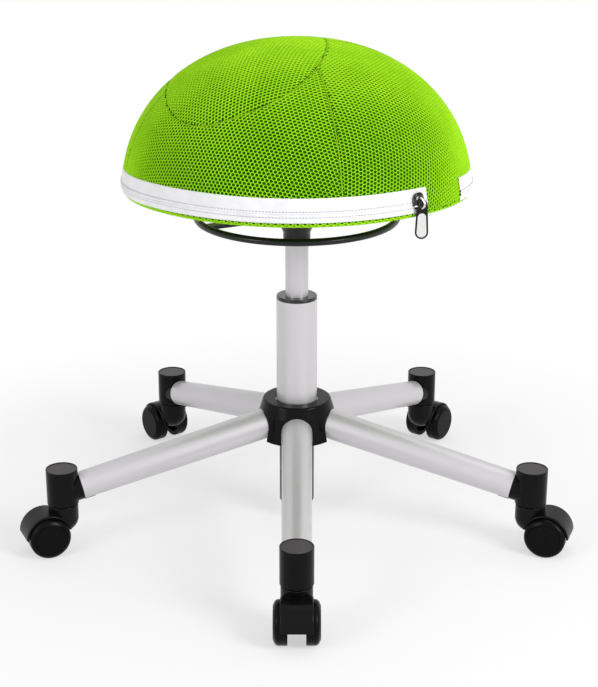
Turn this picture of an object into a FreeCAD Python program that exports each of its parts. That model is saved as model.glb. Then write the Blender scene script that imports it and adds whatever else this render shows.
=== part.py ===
import FreeCAD, Part
import math
import os

import Sketcher
from FreeCAD import Placement, Rotation, Vector

# A wobble stool: an inflated half ball in a zipped mesh cover, on a gas lift and a five star base.
# Millimetres, +Z up. The origin is on the floor under the column. The front arm points to -Y.

SIZES = {
    # Star base
    "caster_circle_radius": 297.5,
    "arm_axis_height": 140.6,
    "arm_slope": 12.43,
    "arm_root_radius": 19.0,
    "arm_end_radius": 16.8,
    "arm_wall": 1.6,
    "arm_end_setback": 22.9,
    "key_width": 6.0,
    "key_length": 13.0,
    "key_proud": 1.2,
    # Hub: a steel sleeve under a plastic bell, with heights from the arms' axis
    "core_radius": 32.8,
    "core_foot": 30.6,
    "hub_foot": 26.3,
    "hub_bottom_radius": 49.3,
    "hub_waist_drop": 9.6,
    "hub_waist_radius": 46.8,
    "hub_shoulder_rise": 5.9,
    "hub_shoulder_radius": 46.4,
    "hub_top_rise": 21.4,
    "hub_top_radius": 41.8,
    "hub_wall": 3.0,
    "hub_shoulder_round": 4.0,
    "hub_top_round": 2.5,
    "hub_column_gap": 2.3,
    "hub_arm_gap": 0.15,
    # Sockets at the arm ends
    "cap_radius": 19.1,
    "cap_bottom": 61.0,
    "cap_top": 105.2,
    "cap_rim": 1.6,
    "cap_dish": 0.7,
    "cap_edge": 0.6,
    "plug_length": 26.0,
    # Casters
    "wheel_radius": 25.0,
    "wheel_inner": 10.2,
    "wheel_outer": 26.0,
    "wheel_shoulder": 22.8,
    "wheel_edge": 5.0,
    "wheel_face_radius": 19.5,
    "wheel_groove": 0.4,
    "wheel_dish_radius": 19.5,
    "wheel_dish_depth": 6.0,
    "wheel_boss_radius": 8.0,
    "wheel_bore_depth": 12.5,
    "trail": 23.0,
    "axle_radius": 4.0,
    "axle_half_length": 22.5,
    "stem_radius": 5.5,
    "stem_depth": 24.0,
    "pivot_radius": 4.0,
    "pivot_length": 21.0,
    "neck_radius": 17.9,
    "neck_shoulder": 41.9,
    "neck_top": 59.5,
    "neck_edge": 1.2,
    "neck_collar_radius": 14.5,
    "hood_radius": 28.2,
    "hood_half_width": 18.4,
    "hood_edge": 1.8,
    "hood_web": 9.0,
    "hood_wheel_gap": 1.0,
    "hood_skirt": 26.0,
    "hood_front": 31.5,
    "axle_boss_radius": 7.5,
    # Column
    "column_radius": 25.0,
    "column_taper": 0.6,
    "column_top": 291.0,
    "tube_radius": 21.6,
    "tube_wall": 1.6,
    "tube_bottom": 22.3,
    "tube_floor": 3.0,
    "tube_edge": 2.5,
    "bush_length": 72.0,
    "bush_flange": 4.0,
    "bush_flange_radius": 24.8,
    "bush_edge": 1.2,
    # Gas lift
    "gas_radius": 14.0,
    "gas_wall": 1.6,
    "gas_bottom": 118.2,
    "gas_gland": 8.0,
    "gas_top": 388.0,
    "gas_head": 16.0,
    "gas_taper": 0.7,
    "rod_radius": 5.0,
    "rod_bottom": 19.0,
    "rod_collar_radius": 8.0,
    "rod_collar": 3.0,
    "piston_bottom": 162.0,
    "piston_length": 12.0,
    "clip_radius": 9.5,
    "clip_thickness": 1.6,
    "bearing_radius": 13.0,
    "bearing_height": 6.0,
    "bump_radius": 11.0,
    "bump_length": 18.0,
    "pin_radius": 4.0,
    "pin_length": 13.2,
    "pin_dome": 1.5,
    "pin_bore_depth": 12.0,
    # Seat socket and height release
    "socket_bottom": 362.0,
    "socket_neck": 374.0,
    "socket_neck_radius": 16.4,
    "socket_cone": 387.0,
    "socket_cone_radius": 22.0,
    "socket_shoulder": 393.0,
    "socket_radius": 30.0,
    "socket_wall": 4.5,
    "socket_floor_radius": 17.5,
    "socket_bowl": 7.0,
    "slot_below": 7.3,
    "slot_above": 5.5,
    "slot_gap": 0.6,
    "ring_radius": 119.6,
    "ring_rod_radius": 4.25,
    "ring_drop": 36.5,
    "bar_width": 14.0,
    "bar_thickness": 4.0,
    "lever_offset": 22.0,
    "lever_boss_radius": 4.4,
    "lever_pin_radius": 2.0,
    "lever_pin_length": 38.0,
    # Seat plate and board
    "plate_side": 170.0,
    "plate_thickness": 3.0,
    "plate_corner": 12.0,
    "bolt_spacing": 140.0,
    "bolt_radius": 3.0,
    "bolt_head_radius": 5.5,
    "bolt_head": 3.0,
    "bolt_grip": 8.0,
    "board_thickness": 11.0,
    "board_edge": 6.0,
    "board_gap": 0.7,
    "valve_offset": 110.0,
    "valve_radius": 4.0,
    "valve_flange_radius": 8.0,
    "valve_flange": 2.5,
    "valve_tip": 1.5,
    "valve_hole_radius": 12.0,
    # Half ball and its cover
    "dome_radius": 206.4,
    "dome_base": 430.0,
    "dome_rise": 173.7,
    "cover_base": 434.0,
    "cover_thickness": 3.0,
    "cover_clearance": 0.3,
    "rim_inset": 0.3,
    "rim_corner": 5.5,
    "ball_wall": 4.0,
    "ball_corner": 8.0,
    "zip_bottom": 440.0,
    "zip_top": 466.5,
    "tape_recess": 0.4,
    # Zip slider and puller
    "slider_width": 17.0,
    "slider_rise": 3.0,
    "slider_height": 20.0,
    "slider_proud": 1.6,
    "slider_depth": 10.0,
    "slider_corner": 6.0,
    "slider_edge": 1.2,
    "slider_gap": 0.3,
    "post_rise": 9.7,
    "post_radius": 2.4,
    "crown_radius": 4.6,
    "crown_thickness": 1.4,
    "puller_thickness": 1.7,
    "puller_standoff": 5.3,
    "puller_top_radius": 6.0,
    "puller_end_radius": 7.4,
    "puller_drop": 31.0,
    "puller_frame": 1.3,
    "puller_recess": 0.35,
    # Fits, as radial clearances
    "fixed_fit": 0.02,
    "running_fit": 0.05,
    "seat_gap": 0.3,
}

ARM_COUNT = 5
FRONT_AZIMUTH = -90.0

# Directions in degrees round the stool's axis. The casters stand swung a little out of their arms' lines.
BAR_DIRECTION = 27.0
CASTER_SWINGS = [0.0, -2.0, 0.0, 0.0, 6.0]
ZIP_START = -26.7
ZIP_TURN = 338.7
SLIDER_SETBACK = 2.3
SLIDER_DIRECTION = ZIP_START + ZIP_TURN - SLIDER_SETBACK
PULLER_TWIST = -35.0

# The dome is a little fuller than an ellipse: these are the powers on its cosine and its sine.
SHOULDER_POWER = 0.914
CROWN_POWER = 0.985
DOME_STEPS = 12

ORIGIN = Vector(0, 0, 0)
X_AXIS = Vector(1, 0, 0)
Y_AXIS = Vector(0, 1, 0)
Z_AXIS = Vector(0, 0, 1)
ALONG_X = Rotation(Y_AXIS, 90)
ALONG_Y = Rotation(X_AXIS, -90)
SAME_PLACE = 1e-4

doc = FreeCAD.newDocument("WobbleStool")
sheet = doc.addObject("Spreadsheet::Sheet", "Size")
for row, (name, number) in enumerate(SIZES.items(), start=1):
    sheet.set("A%d" % row, name)
    sheet.set("B%d" % row, str(number))
    sheet.setAlias("B%d" % row, name)
doc.recompute()

sub_parts = []

# Lengths that several pieces share
ARM_END = "((Size.caster_circle_radius - Size.arm_end_setback) / cos(Size.arm_slope))"
ARM_TAPER = "((Size.arm_root_radius - Size.arm_end_radius) / %s)" % ARM_END
CORE_BOTTOM = "(Size.arm_axis_height - Size.core_foot)"
HUB_BOTTOM = "(Size.arm_axis_height - Size.hub_foot)"
HUB_WAIST = "(Size.arm_axis_height - Size.hub_waist_drop)"
HUB_SHOULDER = "(Size.arm_axis_height + Size.hub_shoulder_rise)"
HUB_TOP = "(Size.arm_axis_height + Size.hub_top_rise)"
CORE_TOP = "(%s - Size.hub_wall)" % HUB_TOP
TUBE_BORE = "(Size.tube_radius - Size.tube_wall)"
TUBE_FLOOR = "(Size.tube_bottom + Size.tube_floor)"
GAS_BORE = "(Size.gas_radius - Size.gas_wall)"
GAS_TIP = "(Size.gas_radius - Size.gas_taper)"
BEARING_TOP = "(%s + Size.bearing_height)" % TUBE_FLOOR
COLLAR_BOTTOM = "(%s + Size.running_fit)" % BEARING_TOP
COLLAR_TOP = "(%s + Size.rod_collar)" % COLLAR_BOTTOM
PIVOT_TIP = "(Size.cap_bottom - Size.pivot_length)"
NECK_BORE_FLOOR = "(%s - Size.fixed_fit)" % PIVOT_TIP
PLATE_BOTTOM = "(Size.cover_base - Size.plate_thickness)"
RING_HEIGHT = "(%s - Size.ring_drop)" % PLATE_BOTTOM
SOCKET_BORE = "(Size.socket_radius - Size.socket_wall)"
RIM_RADIUS = "(Size.dome_radius - Size.rim_inset)"
RIM_BORE = "(%s - Size.cover_thickness)" % RIM_RADIUS
BOARD_RADIUS = "(%s - Size.board_gap)" % RIM_BORE
BOARD_BOTTOM = "(Size.cover_base + Size.cover_thickness)"
BALL_BOTTOM = "(%s + Size.board_thickness)" % BOARD_BOTTOM
BALL_FLOOR = "(%s + Size.ball_wall)" % BALL_BOTTOM
BALL_INSET = "(Size.cover_thickness + Size.cover_clearance)"
BOLT_TIP = "(%s + Size.bolt_grip)" % BOARD_BOTTOM
INNER_ROUND = "(Size.rim_corner - Size.cover_thickness)"
SLIDER_REACH = "(Size.dome_radius + Size.slider_proud)"
SLIDER_BOTTOM = "(Size.zip_bottom + Size.slider_rise)"
POST_HEIGHT = "(Size.zip_bottom + Size.post_rise)"


def value(text):
    """What an expression in the sheet's names comes to."""
    result = sheet.evalExpression(text)
    return float(getattr(result, "Value", result))


def node(item, label):
    """Keep a finished piece under the name that its file gets."""
    item.Label = label
    sub_parts.append(item)
    return item


def solid(kind, **sizes):
    """A Part primitive whose sizes are bound to the sheet."""
    item = doc.addObject("Part::" + kind, kind)
    for key, text in sizes.items():
        item.setExpression(key, text)
    return item


def place(item, x="0", y="0", z="0", turn=Rotation()):
    """Put a piece at a point that is bound to the sheet."""
    item.Placement = Placement(ORIGIN, turn)
    for axis, text in (("x", x), ("y", y), ("z", z)):
        if text != "0":
            item.setExpression("Placement.Base." + axis, text)
    return item


def aim(item, azimuth):
    """Turn a finished piece about the stool's axis."""
    return place(item, turn=Rotation(Z_AXIS, azimuth))


def fused(*items):
    """One piece from several that run into each other."""
    joined = doc.addObject("Part::MultiFuse", "Fusion")
    joined.Shapes = list(items)
    return joined


def common(*items):
    """The space that all the items share."""
    shared = doc.addObject("Part::MultiCommon", "Common")
    shared.Shapes = list(items)
    return shared


def cut(base, *tools):
    """The base without the space that the tools take."""
    less = doc.addObject("Part::Cut", "Cut")
    less.Base = base
    less.Tool = tools[0] if len(tools) == 1 else fused(*tools)
    return less


def outline(body, corners, plane_role):
    """A closed sketch of straight edges. Each corner is two expressions: across and up."""
    plane = [item for item in body.Origin.OriginFeatures if item.Role == plane_role][0]
    sketch = body.newObject("Sketcher::SketchObject", "Outline")
    sketch.AttachmentSupport = [(plane, "")]
    sketch.MapMode = "FlatFace"
    points = [Vector(value(across), value(up), 0) for across, up in corners]
    count = len(corners)
    for i in range(count):
        sketch.addGeometry(Part.LineSegment(points[i], points[(i + 1) % count]), False)
    for i in range(count):
        sketch.addConstraint(Sketcher.Constraint("Coincident", i, 2, (i + 1) % count, 1))
    for i, (across, up) in enumerate(corners):
        wanted = (("DistanceX", across, points[i].x, -2), ("DistanceY", up, points[i].y, -1))
        for kind, text, number, axis in wanted:
            if text == "0":
                sketch.addConstraint(Sketcher.Constraint("PointOnObject", i, 1, axis))
                continue
            index = sketch.addConstraint(Sketcher.Constraint(kind, -1, 1, i, 1, number))
            sketch.setExpression("Constraints[%d]" % index, text)
    return sketch


def rounded(body, last, radius, chosen):
    """Round the edges of a body's last feature that the test picks."""
    doc.recompute()
    names = ["Edge%d" % i for i, edge in enumerate(last.Shape.Edges, start=1) if chosen(edge)]
    fillet = body.newObject("PartDesign::Fillet", "Fillet")
    fillet.Base = (last, names)
    fillet.setExpression("Radius", radius)
    body.Tip = fillet
    return fillet


def on_ring(across, up):
    """A test for the round edge at this radius and height."""
    radius, height = value(across), value(up)

    def chosen(edge):
        if edge.Curve.TypeId != "Part::GeomCircle":
            return False
        miss = abs(edge.Curve.Radius - radius) + abs(edge.Curve.Center.z - height)
        return miss < SAME_PLACE

    return chosen


def turned(corners, *rounds):
    """A body turned about its own Z axis. Each round is a radius and its edge's across and up."""
    body = doc.addObject("PartDesign::Body", "Body")
    last = body.newObject("PartDesign::Revolution", "Revolution")
    sketch = outline(body, corners, "XZ_Plane")
    last.Profile = sketch
    last.ReferenceAxis = (sketch, ["V_Axis"])
    last.Angle = 360.0
    for radius, across, up in rounds:
        last = rounded(body, last, radius, on_ring(across, up))
    return body


def extruded(corners, plane_role, length):
    """A body with a straight edged outline and one thickness."""
    body = doc.addObject("PartDesign::Body", "Body")
    sketch = outline(body, corners, plane_role)
    pad = body.newObject("PartDesign::Pad", "Pad")
    pad.Profile = sketch
    pad.setExpression("Length", length)
    return body


def block(length, width, height):
    """A box as a body, so that its edges can be rounded."""
    body = doc.addObject("PartDesign::Body", "Body")
    box = body.newObject("PartDesign::AdditiveBox", "Block")
    box.setExpression("Length", length)
    box.setExpression("Width", width)
    box.setExpression("Height", height)
    return body, box


def runs_along(axis):
    """A test for straight edges in one direction."""
    def chosen(edge):
        if len(edge.Vertexes) < 2:
            return False
        step = edge.Vertexes[1].Point - edge.Vertexes[0].Point
        return abs(step.normalize().dot(axis)) > 1 - SAME_PLACE

    return chosen


def ring_section(inner, outer, bottom, top):
    """The four corners of a plain ring's section."""
    return [(inner, bottom), (outer, bottom), (outer, top), (inner, top)]


def azimuths():
    """The arms' numbers and directions, from the front one round."""
    return [(i + 1, FRONT_AZIMUTH + 360.0 / ARM_COUNT * i) for i in range(ARM_COUNT)]


# The arms are tapered tubes, made along +X and then turned to their directions.

def on_arm(item, distance, y="0"):
    """Lay a piece that was made along Z on the arm's sloping axis, this far along it."""
    place(item, "(%s) * cos(Size.arm_slope)" % distance, y,
          "Size.arm_axis_height - (%s) * sin(Size.arm_slope)" % distance, ALONG_X)
    item.setExpression("Placement.Rotation.Angle", "90 + Size.arm_slope")
    return item


def arm_cone(start, end, grow="0"):
    """A length of the arm's tapered outside, grown or shrunk by a radius."""
    radius = "Size.arm_root_radius - (%s) * " + ARM_TAPER + " + (%s)"
    cone = solid("Cone", Radius1=radius % (start, grow), Radius2=radius % (end, grow),
                 Height="(%s) - (%s)" % (end, start))
    return on_arm(cone, start)


def arm_key(side_gap="0", beyond="0"):
    """The key along the underside of the arm's outer end, or its slot with a gap round it."""
    width = "(Size.key_width + 2 * (%s))" % side_gap
    key = solid("Box", Length="Size.arm_end_radius + Size.key_proud + (%s)" % side_gap, Width=width,
                Height="Size.key_length + (%s) + (%s)" % (side_gap, beyond))
    return on_arm(key, "%s - Size.key_length - (%s)" % (ARM_END, side_gap), "-%s / 2" % width)


def make_arm():
    """A tapered tube, mitred on the hub's sleeve, with a slot for the socket's key."""
    start = "(Size.core_radius / 2)"
    tube = cut(arm_cone(start, ARM_END), arm_cone(start, ARM_END, "-Size.arm_wall"))
    sleeve = solid("Cylinder", Radius="Size.core_radius", Height="2 * Size.arm_axis_height")
    return cut(tube, sleeve, arm_key("Size.hub_arm_gap", "Size.key_proud"))


def make_cap():
    """The socket on an arm's end: a round block for the stem, with a plug and a key in the tube."""
    dish_radius = "(Size.cap_radius - Size.cap_rim)"
    dish = "(Size.cap_top - Size.cap_dish)"
    drum = turned([("0", "Size.cap_bottom"), ("Size.cap_radius", "Size.cap_bottom"),
                   ("Size.cap_radius", "Size.cap_top"), (dish_radius, "Size.cap_top"),
                   (dish_radius, dish), ("0", dish)],
                  ("Size.cap_edge", "Size.cap_radius", "Size.cap_top"))
    place(drum, "Size.caster_circle_radius")
    inside = "%s + Size.cap_radius" % ARM_END
    collar = arm_cone(ARM_END, inside)
    plug = arm_cone("%s - Size.plug_length" % ARM_END, inside, "-Size.arm_wall - Size.fixed_fit")
    bore = solid("Cylinder", Radius="Size.stem_radius + Size.fixed_fit", Height="2 * Size.stem_depth")
    place(bore, "Size.caster_circle_radius", z="Size.cap_bottom - Size.stem_depth")
    below = solid("Box", Length="4 * Size.cap_radius", Width="4 * Size.cap_radius",
                  Height="Size.cap_radius")
    place(below, "Size.caster_circle_radius - 2 * Size.cap_radius", "-2 * Size.cap_radius",
          "Size.cap_bottom - Size.cap_radius")
    return cut(fused(drum, collar, plug, arm_key()), bore, below)


def make_stem():
    """The steel pin between socket and caster: thick in the socket, thin where the caster turns."""
    top = "(Size.cap_bottom + Size.stem_depth)"
    return turned([("0", PIVOT_TIP), ("Size.pivot_radius", PIVOT_TIP),
                   ("Size.pivot_radius", "Size.cap_bottom"), ("Size.stem_radius", "Size.cap_bottom"),
                   ("Size.stem_radius", top), ("0", top)])


for number, azimuth in azimuths():
    node(aim(make_arm(), azimuth), "arm_tube_%d" % number)
    node(aim(make_cap(), azimuth), "arm_cap_%d" % number)
    foot_x = "Size.caster_circle_radius * cos(%s)" % azimuth
    foot_y = "Size.caster_circle_radius * sin(%s)" % azimuth
    node(place(make_stem(), foot_x, foot_y), "caster_stem_%d" % number)


# Casters, made with the swivel axis at the origin and the axle trailing along +X.

def across_axle(item, y="0"):
    """Lay a piece that was made along Z on the axle."""
    return place(item, "Size.trail", y, "Size.wheel_radius", ALONG_Y)


def make_hood():
    """The caster's hood: a fender barrel over both wheels, a neck for the stem and an axle boss."""
    edge = "Size.hood_half_width"
    barrel = turned([("0", "-" + edge), ("Size.hood_radius", "-" + edge), ("Size.hood_radius", edge),
                     ("0", edge)],
                    ("Size.hood_edge", "Size.hood_radius", "-" + edge),
                    ("Size.hood_edge", "Size.hood_radius", edge))
    across_axle(barrel)
    collar_top = "(Size.cap_bottom - Size.seat_gap)"
    neck = turned([("0", "Size.neck_shoulder"), ("Size.neck_radius", "Size.neck_shoulder"),
                   ("Size.neck_radius", "Size.neck_top"), ("Size.neck_collar_radius", "Size.neck_top"),
                   ("Size.neck_collar_radius", collar_top), ("0", collar_top)],
                  ("Size.neck_edge", "Size.neck_radius", "Size.neck_top"))
    apron = place(solid("Sphere", Radius="Size.neck_radius"), z="Size.neck_shoulder")
    apron.Angle2 = 0
    below = solid("Box", Length="4 * Size.hood_radius", Width="4 * Size.hood_radius",
                  Height="2 * Size.hood_radius")
    place(below, "-2 * Size.hood_radius", "-2 * Size.hood_radius",
          "Size.hood_skirt - 2 * Size.hood_radius")
    pocket_radius = "Size.wheel_radius + Size.hood_wheel_gap"
    ahead = solid("Box", Length="4 * Size.hood_radius", Width="4 * Size.hood_radius",
                  Height="2 * Size.hood_radius")
    place(ahead, "Size.trail - 4 * Size.hood_radius", "-2 * Size.hood_radius",
          "Size.hood_front - 2 * Size.hood_radius")
    left = across_axle(solid("Cylinder", Radius=pocket_radius, Height="Size.hood_radius"),
                       "Size.hood_web")
    right = across_axle(solid("Cylinder", Radius=pocket_radius, Height="Size.hood_radius"),
                        "-Size.hood_web - Size.hood_radius")
    shell = cut(fused(cut(barrel, below, ahead), neck, apron), left, right)
    boss = across_axle(solid("Cylinder", Radius="Size.axle_boss_radius", Height="2 * Size.hood_web"),
                       "-Size.hood_web")
    axle_bore = across_axle(solid("Cylinder", Radius="Size.axle_radius + Size.fixed_fit",
                                  Height="2 * Size.hood_radius"), "-Size.hood_radius")
    stem_bore = solid("Cylinder", Radius="Size.pivot_radius + Size.running_fit",
                      Height="2 * Size.pivot_length")
    place(stem_bore, z=NECK_BORE_FLOOR)
    return cut(fused(shell, boss), axle_bore, stem_bore)


def make_wheel():
    """One wheel about its own Z axis: hollow on the inner side, domed on the outer side."""
    dish = "(Size.wheel_inner + Size.wheel_dish_depth)"
    bore = "(Size.axle_radius + Size.running_fit)"
    bore_end = "(Size.wheel_inner + Size.wheel_bore_depth)"
    groove = "Size.wheel_groove"
    return turned([(bore, "Size.wheel_inner"), ("Size.wheel_boss_radius", "Size.wheel_inner"),
                   ("Size.wheel_boss_radius", dish), ("Size.wheel_dish_radius", dish),
                   ("Size.wheel_dish_radius", "Size.wheel_inner"),
                   ("Size.wheel_radius", "Size.wheel_inner"),
                   ("Size.wheel_radius", "Size.wheel_shoulder"),
                   ("Size.wheel_face_radius + " + groove, "Size.wheel_outer - " + groove),
                   ("Size.wheel_face_radius", "Size.wheel_outer - 2 * " + groove),
                   ("Size.wheel_face_radius - " + groove, "Size.wheel_outer"),
                   ("0", "Size.wheel_outer"), ("0", bore_end), (bore, bore_end)],
                  ("Size.wheel_edge", "Size.wheel_radius", "Size.wheel_shoulder"))


for (number, azimuth), swing in zip(azimuths(), CASTER_SWINGS):
    trailing = azimuth + swing
    foot_x = "Size.caster_circle_radius * cos(%s)" % azimuth
    foot_y = "Size.caster_circle_radius * sin(%s)" % azimuth
    axle_x = "(%s + Size.trail * cos(%s))" % (foot_x, trailing)
    axle_y = "(%s + Size.trail * sin(%s))" % (foot_y, trailing)
    heading = Rotation(Z_AXIS, trailing)
    node(place(make_hood(), foot_x, foot_y, turn=heading), "caster_hood_%d" % number)
    axle = solid("Cylinder", Radius="Size.axle_radius", Height="2 * Size.axle_half_length")
    place(axle, axle_x + " + Size.axle_half_length * sin(%s)" % trailing,
          axle_y + " - Size.axle_half_length * cos(%s)" % trailing,
          "Size.wheel_radius", heading * ALONG_Y)
    node(axle, "caster_axle_%d" % number)
    for side, facing in (("left", ALONG_Y), ("right", ALONG_Y.inverted())):
        wheel = place(make_wheel(), axle_x, axle_y, "Size.wheel_radius", heading * facing)
        node(wheel, "caster_wheel_%s_%d" % (side, number))


# Hub and column

def make_hub_cover():
    """The plastic bell over the arms' roots, with arches that open downwards."""
    wall = "Size.hub_wall"
    bore = "(Size.column_radius + Size.hub_column_gap)"
    bell = turned([("Size.hub_bottom_radius - " + wall, HUB_BOTTOM),
                   ("Size.hub_bottom_radius", HUB_BOTTOM), ("Size.hub_waist_radius", HUB_WAIST),
                   ("Size.hub_shoulder_radius", HUB_SHOULDER), ("Size.hub_top_radius", HUB_TOP),
                   (bore, HUB_TOP), (bore, CORE_TOP),
                   ("Size.hub_top_radius - " + wall, CORE_TOP),
                   ("Size.hub_shoulder_radius - " + wall, HUB_SHOULDER + " - " + wall + " / 2"),
                   ("Size.hub_waist_radius - " + wall, HUB_WAIST)],
                  ("Size.hub_shoulder_round", "Size.hub_shoulder_radius", HUB_SHOULDER),
                  ("Size.hub_top_round", "Size.hub_top_radius", HUB_TOP))
    arches = []
    for number, azimuth in azimuths():
        arch = arm_cone("(Size.core_radius / 2)", "2 * Size.hub_shoulder_radius", "Size.hub_arm_gap")
        opening = solid("Box", Length="2 * Size.hub_shoulder_radius",
                        Width="2 * Size.arm_root_radius", Height="Size.arm_root_radius")
        place(opening, "Size.core_radius / 2", "-Size.arm_root_radius",
              HUB_WAIST + " - Size.arm_root_radius")
        lower = solid("Box", Length="2 * Size.hub_shoulder_radius",
                      Width="2 * Size.arm_root_radius", Height="Size.arm_root_radius")
        place(lower, "Size.core_radius / 2", "-Size.arm_root_radius",
              HUB_WAIST + " - 2 * Size.arm_root_radius")
        arches.append(aim(fused(arch, opening, lower), azimuth))
    return cut(bell, *arches)


node(make_hub_cover(), "hub_cover")

SLEEVE_FOOT = "(Size.column_radius - Size.column_taper)"
node(turned([(SLEEVE_FOOT + " + Size.fixed_fit", CORE_BOTTOM),
             ("Size.core_radius", CORE_BOTTOM), ("Size.core_radius", CORE_TOP),
             ("Size.column_radius + Size.fixed_fit", CORE_TOP)]), "hub_core")

SLEEVE_BORE = "(Size.tube_radius + Size.fixed_fit)"
node(turned([(SLEEVE_BORE, CORE_BOTTOM), (SLEEVE_FOOT, CORE_BOTTOM),
             ("Size.column_radius", CORE_TOP), ("Size.column_radius", "Size.column_top"),
             (SLEEVE_BORE, "Size.column_top")]), "column_sleeve")

ROD_HOLE = "(Size.rod_radius + Size.running_fit)"
node(turned([(ROD_HOLE, "Size.tube_bottom"), ("Size.tube_radius", "Size.tube_bottom"),
             ("Size.tube_radius", "Size.column_top"), (TUBE_BORE, "Size.column_top"),
             (TUBE_BORE, TUBE_FLOOR), (ROD_HOLE, TUBE_FLOOR)],
            ("Size.tube_edge", "Size.tube_radius", "Size.tube_bottom")), "column_tube")

BUSH_BORE = "(Size.gas_radius + Size.running_fit)"
BUSH_OUTSIDE = "(%s - Size.fixed_fit)" % TUBE_BORE
BUSH_BOTTOM = "(Size.column_top - Size.bush_length)"
FLANGE_TOP = "(Size.column_top + Size.bush_flange)"
node(turned([(BUSH_BORE, BUSH_BOTTOM), (BUSH_OUTSIDE, BUSH_BOTTOM), (BUSH_OUTSIDE, "Size.column_top"),
             ("Size.bush_flange_radius", "Size.column_top"), ("Size.bush_flange_radius", FLANGE_TOP),
             (BUSH_BORE, FLANGE_TOP)],
            ("Size.bush_edge", "Size.bush_flange_radius", FLANGE_TOP)), "guide_bush")

node(turned(ring_section(ROD_HOLE, "Size.bearing_radius", TUBE_FLOOR, BEARING_TOP)),
     "thrust_bearing")


# Gas lift: the rod is held in the column's floor, the cylinder rises and sinks with the seat.

PISTON_TOP = "(Size.piston_bottom + Size.piston_length)"
PISTON_RADIUS = "(%s - Size.running_fit)" % GAS_BORE
node(turned([("0", "Size.rod_bottom"), ("Size.rod_radius", "Size.rod_bottom"),
             ("Size.rod_radius", COLLAR_BOTTOM), ("Size.rod_collar_radius", COLLAR_BOTTOM),
             ("Size.rod_collar_radius", COLLAR_TOP), ("Size.rod_radius", COLLAR_TOP),
             ("Size.rod_radius", "Size.piston_bottom"), (PISTON_RADIUS, "Size.piston_bottom"),
             (PISTON_RADIUS, PISTON_TOP), ("0", PISTON_TOP)]), "piston_rod")

CLIP_TOP = "(Size.tube_bottom - Size.running_fit)"
ON_ROD = "(Size.rod_radius + Size.fixed_fit)"
node(turned(ring_section(ON_ROD, "Size.clip_radius", CLIP_TOP + " - Size.clip_thickness", CLIP_TOP)),
     "rod_clip")

node(turned(ring_section(ON_ROD, "Size.bump_radius", COLLAR_TOP, COLLAR_TOP + " + Size.bump_length")),
     "bump_stop")

GLAND_TOP = "(Size.gas_bottom + Size.gas_gland)"
GAS_ROOF = "(Size.gas_top - Size.gas_head)"
PIN_BORE = "(Size.pin_radius + Size.running_fit)"
PIN_FLOOR = "(Size.gas_top - Size.pin_bore_depth)"
node(turned([(ROD_HOLE, "Size.gas_bottom"), ("Size.gas_radius", "Size.gas_bottom"),
             ("Size.gas_radius", "Size.socket_bottom"), (GAS_TIP, "Size.gas_top"),
             (PIN_BORE, "Size.gas_top"), (PIN_BORE, PIN_FLOOR), ("0", PIN_FLOOR), ("0", GAS_ROOF),
             (GAS_BORE, GAS_ROOF), (GAS_BORE, GLAND_TOP), (ROD_HOLE, GLAND_TOP)]), "gas_cylinder")

BAR_BOTTOM = "(%s - Size.bar_thickness / 2)" % RING_HEIGHT
PIN_TOP = "(%s - Size.seat_gap)" % BAR_BOTTOM
PIN_BOTTOM = "(%s - Size.pin_length)" % PIN_TOP
node(turned([("0", PIN_BOTTOM), ("Size.pin_radius", PIN_BOTTOM), ("Size.pin_radius", PIN_TOP),
             ("0", PIN_TOP)],
            ("Size.pin_dome", "Size.pin_radius", PIN_TOP)), "release_pin")


# Seat socket, and the ring that presses the pin when its far side is pulled down

def make_socket():
    """The cast socket on the gas cylinder's taper, slotted for the ring's bar."""
    bowl = "(Size.gas_top + Size.socket_bowl)"
    casting = turned([("Size.gas_radius + Size.fixed_fit", "Size.socket_bottom"),
                      ("Size.socket_neck_radius", "Size.socket_bottom"),
                      ("Size.socket_neck_radius", "Size.socket_neck"),
                      ("Size.socket_cone_radius", "Size.socket_cone"),
                      ("Size.socket_radius", "Size.socket_shoulder"),
                      ("Size.socket_radius", PLATE_BOTTOM), (SOCKET_BORE, PLATE_BOTTOM),
                      (SOCKET_BORE, bowl), ("Size.socket_floor_radius", "Size.gas_top"),
                      (GAS_TIP + " + Size.fixed_fit", "Size.gas_top")])
    width = "(Size.bar_width + 2 * Size.slot_gap)"
    slot = solid("Box", Length="4 * Size.socket_radius", Width=width,
                 Height="Size.slot_above + Size.slot_below")
    place(slot, "-2 * Size.socket_radius", "-%s / 2" % width, RING_HEIGHT + " - Size.slot_below")
    kept = solid("Cylinder", Radius="Size.socket_floor_radius", Height="Size.socket_bowl")
    place(kept, z="Size.gas_top - Size.socket_bowl")
    bore = solid("Cylinder", Radius="Size.lever_pin_radius + Size.fixed_fit",
                 Height="2 * Size.socket_radius")
    place(bore, "Size.lever_offset", "-Size.socket_radius", RING_HEIGHT, ALONG_Y)
    return aim(cut(casting, cut(slot, kept), bore), BAR_DIRECTION)


def make_ring():
    """The round handle with its flat bar and the boss on the bar that the pivot goes through."""
    hoop = solid("Torus", Radius1="Size.ring_radius", Radius2="Size.ring_rod_radius")
    place(hoop, z=RING_HEIGHT)
    bar = solid("Box", Length="2 * Size.ring_radius", Width="Size.bar_width",
                Height="Size.bar_thickness")
    place(bar, "-Size.ring_radius", "-Size.bar_width / 2", BAR_BOTTOM)
    boss = solid("Cylinder", Radius="Size.lever_boss_radius", Height="Size.bar_width")
    place(boss, "Size.lever_offset", "-Size.bar_width / 2", RING_HEIGHT, ALONG_Y)
    bore = solid("Cylinder", Radius="Size.lever_pin_radius + Size.running_fit",
                 Height="2 * Size.bar_width")
    place(bore, "Size.lever_offset", "-Size.bar_width", RING_HEIGHT, ALONG_Y)
    return aim(cut(fused(hoop, bar, boss), bore), BAR_DIRECTION)


node(make_socket(), "seat_socket")
node(make_ring(), "release_ring")

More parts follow.
